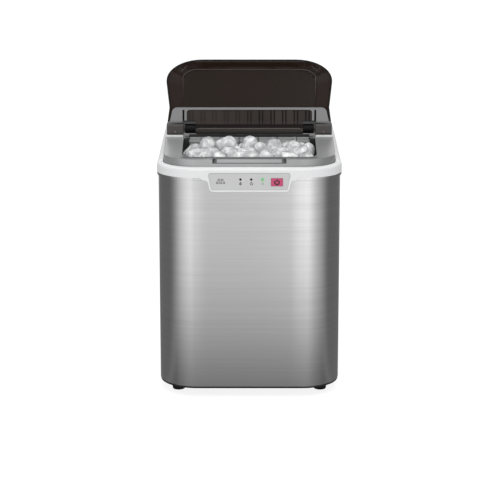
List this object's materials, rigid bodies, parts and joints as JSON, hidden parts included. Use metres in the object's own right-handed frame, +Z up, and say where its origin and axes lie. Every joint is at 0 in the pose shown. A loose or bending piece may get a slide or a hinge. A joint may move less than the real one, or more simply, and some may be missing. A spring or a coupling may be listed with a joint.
{
  "type": "ice maker",
  "caption": "Bench-top bullet ice maker: brushed steel wrap, moulded white collar, sloping deck with ice basket, smoked lid on a rear hinge, finger evaporator and compressor inside.",
  "frame": {"origin": "middle of the footprint, on the table under the feet", "axes": "+Z up, the front with the controls faces -Y, +X to the right seen from the front"},
  "size_m": [0.2416, 0.3576, 0.431],
  "materials": {
    "brushed_steel": "horizontally brushed",
    "white_plastic": "satin gloss",
    "panel_grey": "satin",
    "deck_grey": "satin metallic grey",
    "cover_dark": "satin",
    "smoked_plastic": "smoked brown, glossy",
    "hinge_grey": "satin",
    "hinge_dark": "satin",
    "black_plastic": "fine grain",
    "button_pink": "translucent gloss",
    "lens_green": "clear",
    "circuit_board": "solder mask",
    "rubber_black": "matt",
    "tank_white": "smooth",
    "basket_clear": "frosted",
    "foam": "open skin",
    "nickel": "nickel plated",
    "copper": "copper tube",
    "aluminium": "mill",
    "shell_black": "enamel",
    "hose_clear": "silicone",
    "steel_pin": "ground",
    "float_blue": "foam",
    "shovel_grey": "satin",
    "seal_red": "matt",
    "motor_grey": "satin"
  },
  "bodies": {
    "casing": {"steel_wrap": "brushed_steel", "base_pan": "black_plastic", "feet": "rubber_black", "rear_panel": "black_plastic", "cord_gland": "rubber_black", "panel_screws": "steel_pin", "top_collar": "white_plastic", "control_panel": "panel_grey", "button_switch": "black_plastic", "indicator_lenses": "lens_green", "control_board": "circuit_board", "deck": "deck_grey", "hinge_ledges": "white_plastic", "rear_cover": "cover_dark", "hinge_block_left": "hinge_dark", "hinge_block_right": "hinge_dark", "hinge_pins": "steel_pin", "tank": "tank_white", "tank_foam": "foam", "ice_basket": "basket_clear", "ice_full_sensors": "black_plastic", "float_stem": "tank_white", "ice_unit_frame": "tank_white", "evaporator": "nickel", "tray_motor": "motor_grey", "water_pump": "black_plastic", "suction_hose": "hose_clear", "feed_hose": "hose_clear", "compressor": "shell_black", "compressor_grommets": "rubber_black", "condenser": "aluminium", "fan_shroud": "black_plastic", "fan_motor": "motor_grey", "filter_drier": "copper", "discharge_pipe": "copper", "liquid_pipe": "copper", "return_pipe": "copper", "power_board": "circuit_board"},
    "lid": {"lid_shell": "smoked_plastic", "lid_hinge_frame": "hinge_grey", "lid_barrel": "hinge_dark"},
    "button": {"power_button": "button_pink"},
    "fan": {"fan_blade": "tank_white"},
    "tray": {"water_tray": "basket_clear"},
    "shovel": {"ice_shovel": "shovel_grey"},
    "cap": {"drain_cap": "black_plastic", "drain_seal": "seal_red"},
    "float": {"water_float": "float_blue"}
  },
  "joints": [
    {"name": "lid_hinge", "type": "hinge", "parent": "casing", "child": "lid", "pos_m": [0, -0.0573, 0.33822], "axis": [1, 0, 0], "range_deg": [0, 107]},
    {"name": "power_press", "type": "slide", "parent": "casing", "child": "button", "axis": [0, 1, 0], "range_m": [0, 0.0012], "stiffness_N_per_m": 600},
    {"name": "fan_spin", "type": "hinge", "parent": "casing", "child": "fan", "pos_m": [-0.0738, 0.115, 0.085], "axis": [1, 0, 0], "continuous": true},
    {"name": "tray_tilt", "type": "hinge", "parent": "casing", "child": "tray", "pos_m": [0, 0.0191, 0.28795], "axis": [1, 0, 0], "range_deg": [0, 60]},
    {"name": "shovel_sweep", "type": "hinge", "parent": "casing", "child": "shovel", "pos_m": [0, -0.0588, 0.32098], "axis": [-1, 0, 0], "range_deg": [0, 40]},
    {"name": "drain_cap_turn", "type": "hinge", "parent": "casing", "child": "cap", "pos_m": [0, -0.131, 0.012], "axis": [0, 0, 1], "range_deg": [0, 90]},
    {"name": "float_rise", "type": "slide", "parent": "casing", "child": "float", "axis": [0, 0, 1], "range_m": [0, 0.016]}
  ],
  "couplings": [
    {"joint": "shovel_sweep", "follows": "tray_tilt", "ratio": 0.66667}
  ]
}
